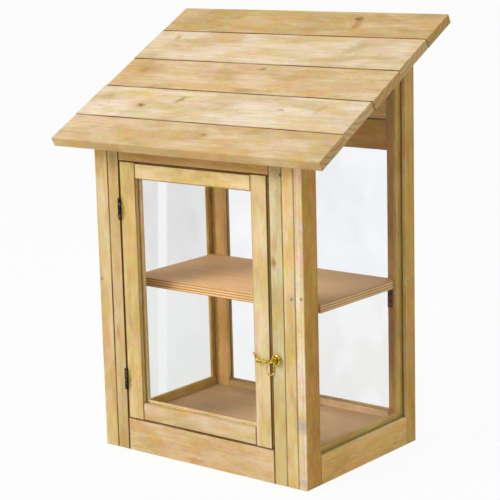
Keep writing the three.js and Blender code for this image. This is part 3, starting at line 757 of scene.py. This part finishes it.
roof_planks = (
    ("#E0C498", (), (
        (on_roof(25, 49), 17, 8, "halo", 0.9), (on_roof(30, 50), 9, 5, "olive", 0.6),
        (on_roof(88, 77), 12, 6, "rust", 0.45),
        (on_roof(60, 8), 150, 12, "orange", 0.5), (on_roof(-250, 20), 60, 14, "halo", 0.4),
    )),
    ("#EBD7B5", ((on_roof(-185, 126), 8, 0.75),), (
        (on_roof(-287, 146), 26, 18, "olive", 0.42), (on_roof(-100, 151), 20, 9, "olive", 0.75, 62),
        (on_roof(148, 140), 14, 4, "pitch", 0.6), (on_roof(231, 152), 24, 8, "halo", 0.85, 62),
        (on_roof(250, 147), 28, 12, "orange", 0.8), (on_roof(190, 182), 70, 9, "cream", 0.8),
        (on_roof(215, 110), 40, 9, "yellow", 0.5), (on_roof(-90, 172), 120, 8, "cream", 0.5),
    )),
    ("#DFC192", (), (
        (on_roof(17, 265), 20, 7, "halo", 0.75), (on_roof(22, 265), 10, 6, "olive", 0.6),
        (on_roof(-264, 243), 34, 24, "halo", 0.5), (on_roof(-262, 243), 14, 15, "olive", 0.45),
        (on_roof(-70, 196), 130, 13, "orange", 0.7),
        (on_roof(230, 225), 60, 16, "halo", 0.35), (on_roof(20, 195), 36, 7, "olive", 0.3),
    )),
    ("#E8D1AB", (), (
        (on_roof(-262, 360), 9, 15, "halo", 0.8, 20), (on_roof(-245, 332), 14, 9, "halo", 0.6),
        (on_roof(188, 348), 44, 20, "olive", 0.38, 40), (on_roof(100, 320), 120, 16, "cream", 0.5),
    )),
    ("#D9BB87", ((on_roof(134, 447), 7, 0.9),), (
        (on_roof(141, 426), 30, 13, "rust", 0.7, 100), (on_roof(160, 404), 30, 14, "orange", 0.8),
        (on_roof(136, 448), 16, 9, "olive", 0.75),
        (on_roof(200, 446), 60, 2.5, "olive", 0.35), (on_roof(-210, 400), 34, 4, "halo", 0.85, 8),
        (on_roof(-222, 425), 26, 4, "halo", 0.8, 60), (on_roof(-190, 412), 30, 3.5, "halo", 0.6, -12),
        (on_roof(-225, 455), 60, 20, "halo", 0.35), (on_roof(-60, 462), 80, 7, "yellow", 0.6),
    )),
)
for number, (tone, knots, marks) in enumerate(roof_planks, start=1):
    neighbours = ((-UPSLOPE, number > 1), (UPSLOPE, number < len(roof_planks)))
    joined = tuple(side for side, there in neighbours if there)
    boards[f"roof_plank_{number}"] = (X, UPSLOPE, tone, dict(joined=joined, knots=knots, marks=marks))
# The darker eave face of the first plank is painted shade.
boards["roof_plank_1"][3]["faces_with_painted_light"] = ((-UPSLOPE, "#D2B27C"),)
print("roof planks:", len(roof_planks))

# %% Dress the boards
first_seed = 3
for seed, (name, row) in enumerate(boards.items(), start=first_seed):
    along, across, tone, traits = row
    place = measure(name, along, across)
    dress(name, pine_finish(f"oiled pine {name}", place, tone, seed, **traits))
print("pine boards:", len(boards))

# %% [markdown]
# ## Plywood
#
# The floor and the shelf are plywood: thin sheets of wood glued with their grain crossed. The
# broad face is one pinkish brown veneer, and the cut edge shows the layers as fine light and dark
# lines, which waver a little where the saw tore them. The layers depend on height alone, so height
# can pick them, and the broad face lies over them as the outermost veneer. Towards the right the
# veneer is browner in the picture.

# %% Plywood
sheet_mm = 18.0
ply_mm = sheet_mm / 7
torn_mm = 26.0
torn_by_mm = 1.6
veneer_grain_mm = (170.0, 8.0)
veneer_fleck_mm = (60.0, 24.0)
browner_from_mm, browner_to_mm = 40.0, 190.0
ply_colours = ("#E0B87C", "#AE7C44")
veneers = {"floor_panel": ("#D2AC7A", "#AC875C"), "shelf": ("#EFC488", "#CC9E66")}


def plywood_finish(name, place, veneer):
    material = bpy.data.materials.new(name)
    material.use_nodes = True
    shader = material.node_tree.nodes["Principled BSDF"]
    node = functools.partial(add_node, material.node_tree)
    sheet, apart, inside = board_places(node, place)
    grain = clouds(node, sheet, veneer_grain_mm, 1.0, 5.0)
    face = node(MIX, {0: grain, 6: to_linear(veneer[0]), 7: to_linear(veneer[1])}, **COLOURS)
    flecks = clouds(node, sheet, veneer_fleck_mm, 2.0, 3.0, output=1)
    face = node(MIX, {0: 0.3, 6: face, 7: flecks}, blend_type="SOFT_LIGHT", **COLOURS)
    browner = node(RANGE, {0: apart[0], 1: browner_from_mm, 2: browner_to_mm, 4: 0.6}, **EASED)
    face = node(MIX, {0: browner, 6: face, 7: to_linear(veneer[1])}, **COLOURS)

    torn = clouds(node, sheet, (torn_mm, torn_mm), 3.0, 3.0)
    height = node(MATH, {0: torn, 1: torn_by_mm, 2: apart[2]}, operation="MULTIPLY_ADD")
    wave = node(MATH, {0: height, 1: math.pi / ply_mm}, operation="MULTIPLY")
    layer = node(RANGE, {0: node(MATH, {0: wave}, operation="COSINE"), 1: -0.4, 2: 0.4}, **EASED)
    edge = node(MIX, {0: layer, 6: to_linear(ply_colours[1]), 7: to_linear(ply_colours[0])}, **COLOURS)
    below = node(MATH, {0: inside[2], 1: 0.3}, operation="GREATER_THAN")
    colour = node(MIX, {0: below, 6: face, 7: edge}, **COLOURS)
    material.node_tree.links.new(colour, shader.inputs["Base Color"])
    rough = node(RANGE, {0: grain, 3: 0.55, 4: 0.72})
    material.node_tree.links.new(rough, shader.inputs["Roughness"])
    bump = node("ShaderNodeBump", {"Height": grain, "Strength": 0.25, "Distance": 0.3 * MM})
    material.node_tree.links.new(bump, shader.inputs["Normal"])
    return material


for name, veneer in veneers.items():
    dress(name, plywood_finish(f"plywood {name}", measure(name, X, Y), veneer))
print("plywood layers of", round(ply_mm, 2), "mm")

# %% [markdown]
# ## Glass
#
# The panes are clear float glass with some months of street dust on them. In the picture they
# only show as a faint grey over the white ground, darker towards the top of the left pane, which
# also has a long pale streak: a painted reflection. Glass in a renderer blocks the straight
# light of lamps, and the cabinet would be dark inside, so for the rays that look for a lamp the
# pane is plainly see-through. Real float glass bends light by 1.52. Here 1.12 matches the picture
# better, because its panes mirror next to nothing.

# %% Glass
haze_mm = 110.0
low_mm, high_mm = 230.0, 420.0
glass_ior = 1.12
reflection_blur_mm = 2.0
reflection_end_blur_mm = 5.0


def glass_finish(name, low_tint, high_tint, haze_tint, painted_reflection=None):
    material = bpy.data.materials.new(name)
    material.use_nodes = True
    shader = material.node_tree.nodes["Principled BSDF"]
    shader.inputs["Transmission Weight"].default_value = 1.0
    shader.inputs["IOR"].default_value = glass_ior
    shader.inputs["Roughness"].default_value = 0.0
    node = functools.partial(add_node, material.node_tree)
    spot = node("ShaderNodeTexCoord", output="Object")
    depth, height = [node(PARTS, {0: spot}, output=axis) for axis in (1, 2)]
    share = node(RANGE, {0: height, 1: low_mm * MM, 2: high_mm * MM}, **EASED)
    colour = node(MIX, {0: share, 6: to_linear(low_tint), 7: to_linear(high_tint)}, **COLOURS)
    haze = node(NOISE, {"Vector": spot, "Scale": 1 / (haze_mm * MM), "Detail": 3.0})
    haze = node(RANGE, {0: haze, 1: 0.45, 2: 0.62, 4: 0.5}, **EASED)
    colour = node(MIX, {0: haze, 6: colour, 7: to_linear(haze_tint)}, **COLOURS)
    # A paler band across the pane is a painted reflection.
    if painted_reflection:
        middle, lean, half_width, top, tint = painted_reflection
        aside = node(MATH, {0: height, 1: -lean, 2: depth}, operation="MULTIPLY_ADD")
        aside = node(MATH, {0: aside, 1: middle * MM}, operation="SUBTRACT")
        reflection_band = node(RANGE, {
            0: node(MATH, {0: aside}, operation="ABSOLUTE"),
            1: (half_width + reflection_blur_mm) * MM, 2: (half_width - reflection_blur_mm) * MM,
        }, **EASED)
        ended = node(RANGE, {
            0: height, 1: (top + reflection_end_blur_mm) * MM, 2: (top - reflection_end_blur_mm) * MM,
        }, **EASED)
        reflection_band = node(MATH, {0: reflection_band, 1: ended}, operation="MULTIPLY")
        colour = node(MIX, {0: reflection_band, 6: colour, 7: to_linear(tint)}, **COLOURS)
    material.node_tree.links.new(colour, shader.inputs["Base Color"])
    clear = node("ShaderNodeBsdfTransparent", {"Color": to_linear(high_tint)})
    lamps = node("ShaderNodeLightPath", output="Is Shadow Ray")
    pane = node("ShaderNodeMixShader", {0: lamps, 1: shader.outputs[0], 2: clear})
    material.node_tree.links.new(pane, material.node_tree.nodes["Material Output"].inputs["Surface"])
    return material


print("dust in patches of", haze_mm, "mm")

# %% Panes
# The painted reflection's middle at floor level in mm, its lean, half width and top in mm, and its
# tint
painted_reflection_streak = (-10.7, 0.0542, 14.0, 512.0, "#F6F8F7")
clear_glass = glass_finish("float glass", "#FAFBFB", "#FDFDFE", "#F4F5F6")
side_glass = glass_finish("float glass, dusty below", "#F5F5F3", "#F6F8FB", "#FFFFFF")
grey_glass = glass_finish("float glass, dusty", "#EFF0EE", "#E3E3E3", "#EEF0EF", painted_reflection_streak)
panes = {
    "left_pane": grey_glass, "right_pane": side_glass,
    "back_pane": clear_glass, "door_pane": clear_glass,
}
for name, finish in panes.items():
    dress(name, finish)
print("panes:", len(panes))

# %% [markdown]
# ## Brass and blackened steel
#
# The latch is polished brass that has begun to tarnish: lemon yellow where hands rub it, olive
# brown where they don't reach. The hinges are blackened steel, brown where it rusts, with a satin
# shine. The shelf's brackets are plain steel that has gone dull and brown. All are metals: their
# colour is in what they mirror, so Metallic is full, and the pattern goes into the roughness too,
# as dull spots and bright rubbed ones.

# %% Metals
metal_relief_mm = 0.1


def metal_finish(name, bright, dull, smooth, rough, spot_mm):
    material = bpy.data.materials.new(name)
    material.use_nodes = True
    shader = material.node_tree.nodes["Principled BSDF"]
    shader.inputs["Metallic"].default_value = 1.0
    node = functools.partial(add_node, material.node_tree)
    spot = node("ShaderNodeTexCoord", output="Object")
    spots = node(NOISE, {"Vector": spot, "Scale": 1 / (spot_mm * MM), "Detail": 3.0})
    share = node(RANGE, {0: spots, 1: 0.38, 2: 0.66}, **EASED)
    colour = node(MIX, {0: share, 6: to_linear(bright), 7: to_linear(dull)}, **COLOURS)
    material.node_tree.links.new(colour, shader.inputs["Base Color"])
    roughness = node(RANGE, {0: share, 3: smooth, 4: rough})
    material.node_tree.links.new(roughness, shader.inputs["Roughness"])
    bump = node("ShaderNodeBump", {
        "Height": spots, "Strength": 0.2, "Distance": metal_relief_mm * MM,
    })
    material.node_tree.links.new(bump, shader.inputs["Normal"])
    return material


print("metals are pitted", metal_relief_mm, "mm deep")

# %% Latch, hinges and brackets
brass = metal_finish("polished brass", "#EBD644", "#8C6E16", 0.14, 0.36, 5.0)
old_brass = metal_finish("tarnished brass", "#B08A3A", "#4A3314", 0.28, 0.5, 3.0)
steel = metal_finish("blackened steel", "#75635C", "#231817", 0.22, 0.50, 5.0)
bracket_steel = metal_finish("brown steel", "#80592F", "#4E331A", 0.6, 0.8, 8.0)
for name in ("hook", "door_eye", "hanging_loop"):
    dress(name, brass)
dress("hook_pivot_screw", old_brass)
for name in ("left_shelf_bracket", "right_shelf_bracket"):
    dress(name, bracket_steel)
hinge_pieces = [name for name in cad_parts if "hinge" in name and "stile" not in name]
for name in hinge_pieces:
    dress(name, steel)
print("hinge pieces:", len(hinge_pieces))

# %% [markdown]
# ## Screw heads
#
# A few screws show: in the front boards, in the right side and in the shelf's brackets. Each is a
# small countersunk head with a cross recess, sunk until it is nearly flush with the wood. A head
# is turned from bar and then punched, and is modelled in the same order: a cone that widens to
# the face, a bevel round its rim, and a flat punch that a Boolean takes out of it twice, the second
# time a quarter turn further. The screw is made once, facing up, and each copy is turned to the
# face that it sits in.

# %% One screw head
screw_sides = 28
screw_radius_mm = 3.1
screw_depth_mm = 2.4
rim_bevel_mm = 0.25
recess_width_mm = 0.9
recess_length_mm = 4.0
recess_depth_mm = 1.3


def only_select(thing):
    bpy.ops.object.select_all(action="DESELECT")
    thing.select_set(True)
    bpy.context.view_layer.objects.active = thing


def apply_modifier(thing, kind, **settings):
    only_select(thing)
    modifier = thing.modifiers.new(kind.lower(), kind)
    for name, value in settings.items():
        setattr(modifier, name, value)
    bpy.ops.object.modifier_apply(modifier=modifier.name)


def make_screw():
    bpy.ops.object.select_all(action="DESELECT")
    bpy.ops.mesh.primitive_cone_add(
        vertices=screw_sides, radius1=screw_radius_mm * MM / 2, radius2=screw_radius_mm * MM,
        depth=screw_depth_mm * MM, location=(0, 0, -screw_depth_mm * MM / 2),
    )
    head = bpy.context.object
    bpy.ops.object.transform_apply(location=True, rotation=True, scale=True)
    apply_modifier(head, "BEVEL", width=rim_bevel_mm * MM, segments=2, limit_method="ANGLE")
    for turned in (0, math.pi / 2):
        bpy.ops.object.select_all(action="DESELECT")
        bpy.ops.mesh.primitive_cube_add(size=1)
        punch = bpy.context.object
        punch.scale = (recess_length_mm * MM, recess_width_mm * MM, 2 * recess_depth_mm * MM)
        punch.rotation_euler = (0, 0, turned)
        bpy.ops.object.transform_apply(location=True, rotation=True, scale=True)
        apply_modifier(head, "BOOLEAN", operation="DIFFERENCE", solver="EXACT", object=punch)
        bpy.data.objects.remove(punch)
    only_select(head)
    bpy.ops.object.shade_smooth_by_angle(angle=math.radians(35))
    return head


master = make_screw()
print("one screw head has", len(master.data.polygons), "faces_with_painted_light")

# %% [markdown]
# ## Where the screws sit
#
# The places were read off the picture, apart from two kinds. The left side is out of sight, and
# gets the same screw as the right one, and the brackets get two screws each, as such a bracket has
# holes for. Every screw stands a quarter of a millimetre proud, so that its rim shows. Most are
# zinc plated steel, which is a pale dull grey. One has blackened, and those in the brackets have
# gone brown with them.

# %% Places of the screws
stile_screw_mm = (168.5, 328.4)
bracket_middle_mm = 216.5
bracket_face_mm = 154.35
bracket_screws_mm = {"upper": 303.85, "lower": 285.85}
zinc = metal_finish("zinc plated steel", "#A9A6A0", "#6E675C", 0.35, 0.6, 3.0)
screws = {
    "left_post_screw": (on_front(-243.8, 339.8), FRONT, zinc),
    "right_jamb_screw": (on_front(203.0, 580.8), FRONT, steel),
    "right_post_screw": (on_front(222.8, 356.9), FRONT, zinc),
    "corner_screw": (on_front(244.0, 359.3), FRONT, zinc),
    "rear_stile_screw": (on_side(RIGHT, *stile_screw_mm), RIGHT, zinc),
    "left_rear_stile_screw": (on_side(LEFT, *stile_screw_mm), LEFT, zinc),
}
for side, outward in (("left", LEFT), ("right", RIGHT)):
    for level, height in bracket_screws_mm.items():
        place = Vector((outward.x * bracket_middle_mm, bracket_face_mm, height))
        screws[f"{side}_bracket_{level}_screw"] = (place, FRONT, bracket_steel)
print("screw heads:", len(screws))

# %% Set the screws
screw_proud_mm = 0.25
for name, (place, outward, finish) in screws.items():
    screw = bpy.data.objects.new(name, master.data.copy())
    bpy.context.scene.collection.objects.link(screw)
    turned = outward.to_track_quat("Z", "Y").to_matrix().to_4x4()
    screw.data.transform(Matrix.Translation((place + outward * screw_proud_mm) * MM) @ turned)
    screw.data.materials.clear()
    screw.data.materials.append(finish)
    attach(screw, "cabinet")
bpy.data.objects.remove(master)
print("screws stand proud by", screw_proud_mm, "mm")

# %% [markdown]
# ## The view transform
#
# The view transform is set to Standard, so that a colour renders as it is written.

# %% Finish
bpy.context.scene.view_settings.view_transform = "Standard"
